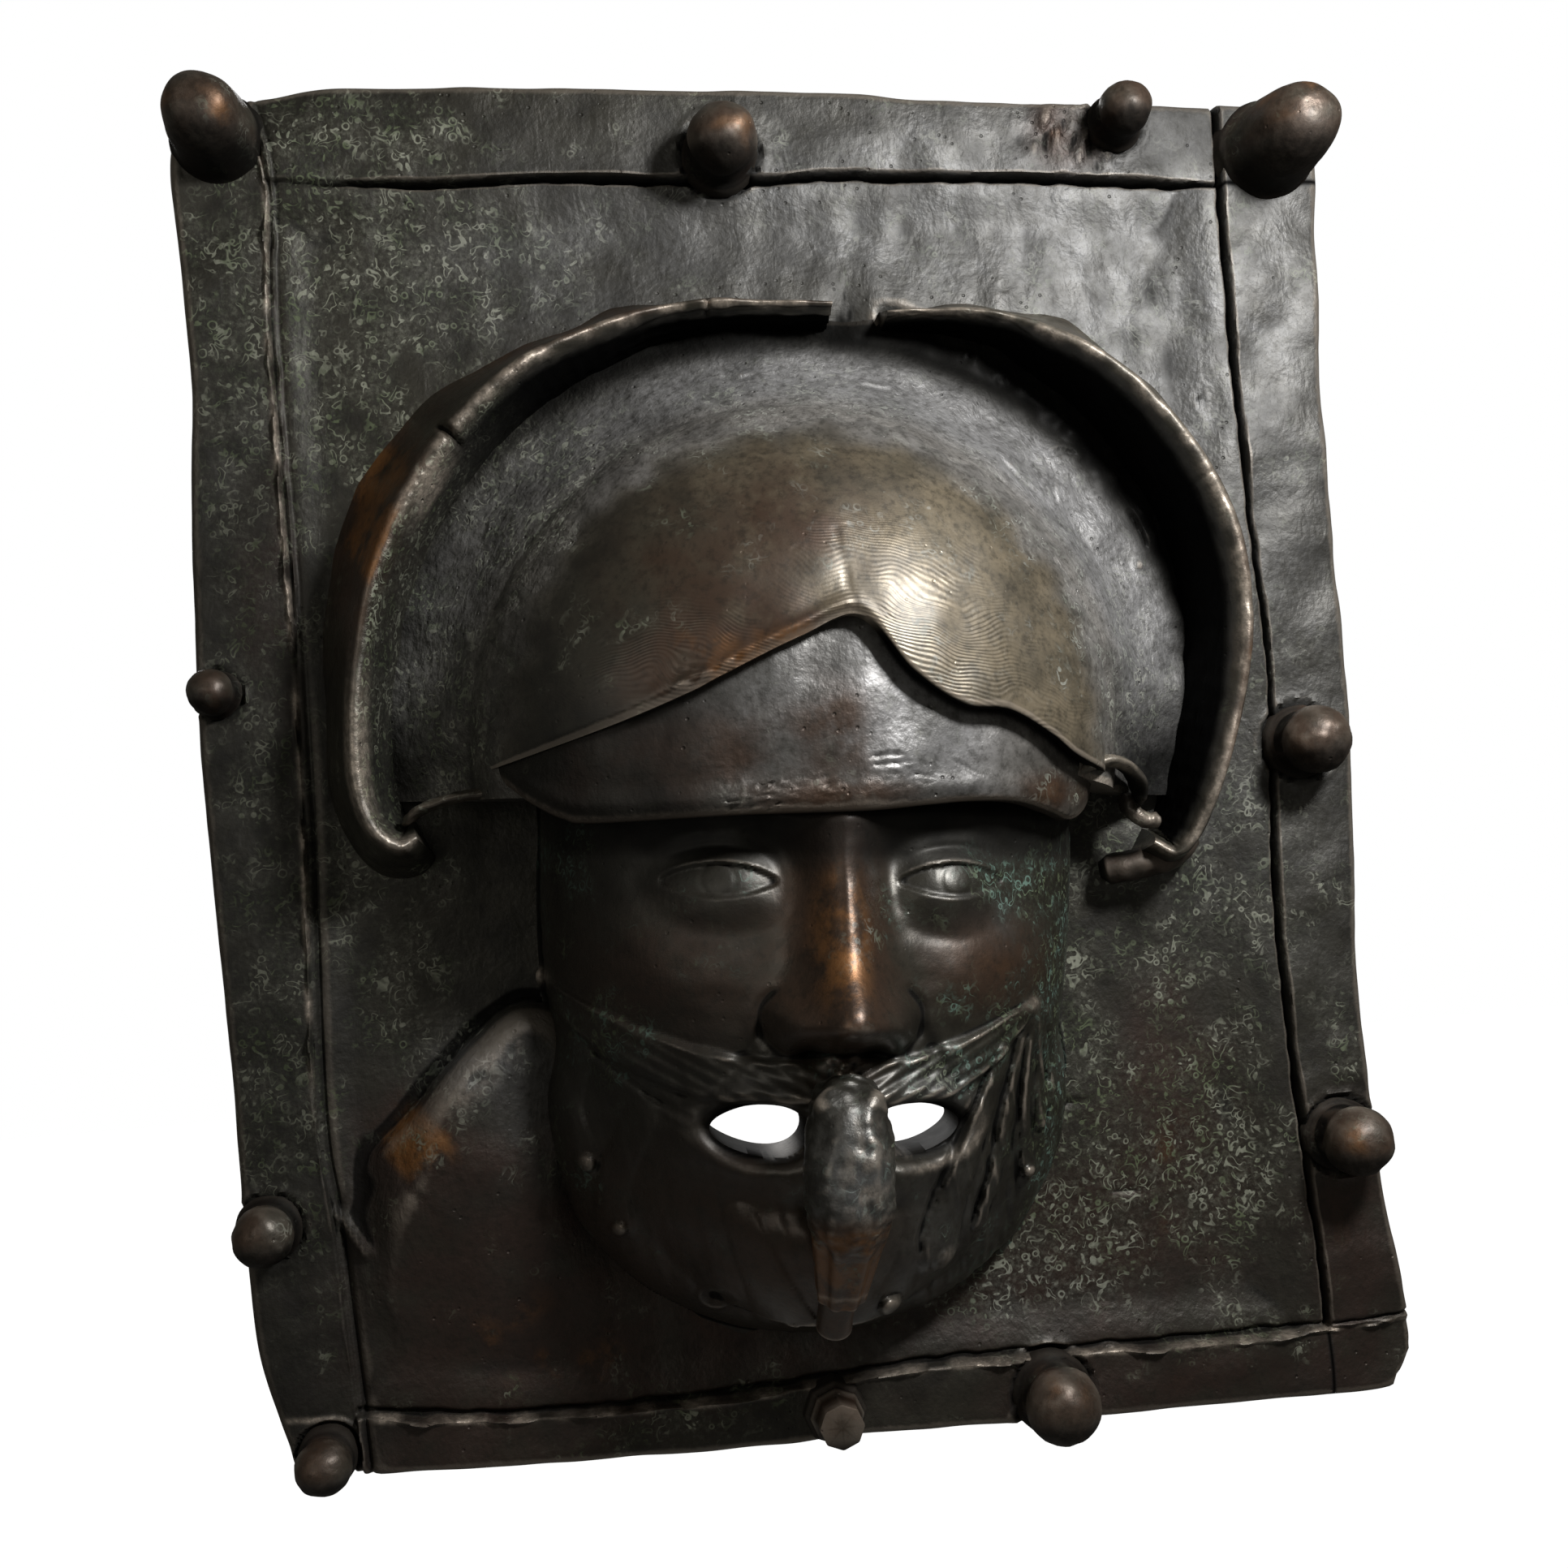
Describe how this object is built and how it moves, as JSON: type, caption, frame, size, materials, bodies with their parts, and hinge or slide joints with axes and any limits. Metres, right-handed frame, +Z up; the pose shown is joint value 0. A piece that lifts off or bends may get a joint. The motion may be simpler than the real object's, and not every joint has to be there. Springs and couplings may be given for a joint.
{
  "type": "relief plaque",
  "caption": "Cast bronze wall plaque with a helmeted, bearded head in high relief under a crest rim, framed by lapped strips and studs; the back of the head is open and hollow",
  "frame": {"origin": "on the flat back at the wall mount, 60 mm above the plaque's middle, on solid metal above the hollow of the head", "axes": "+Z up as the plaque hangs, -Y out of the front towards the viewer, +Y into the wall, +X to the right seen from the front"},
  "size_m": [0.1383, 0.0387, 0.1616],
  "materials": {
    "patinated_bronze": "dark brown-black patinated cast bronze with worn coppery highs and green-grey verdigris in the hollows"
  },
  "bodies": {
    "root": {"relief_plaque": "patinated_bronze"}
  },
  "joints": []
}
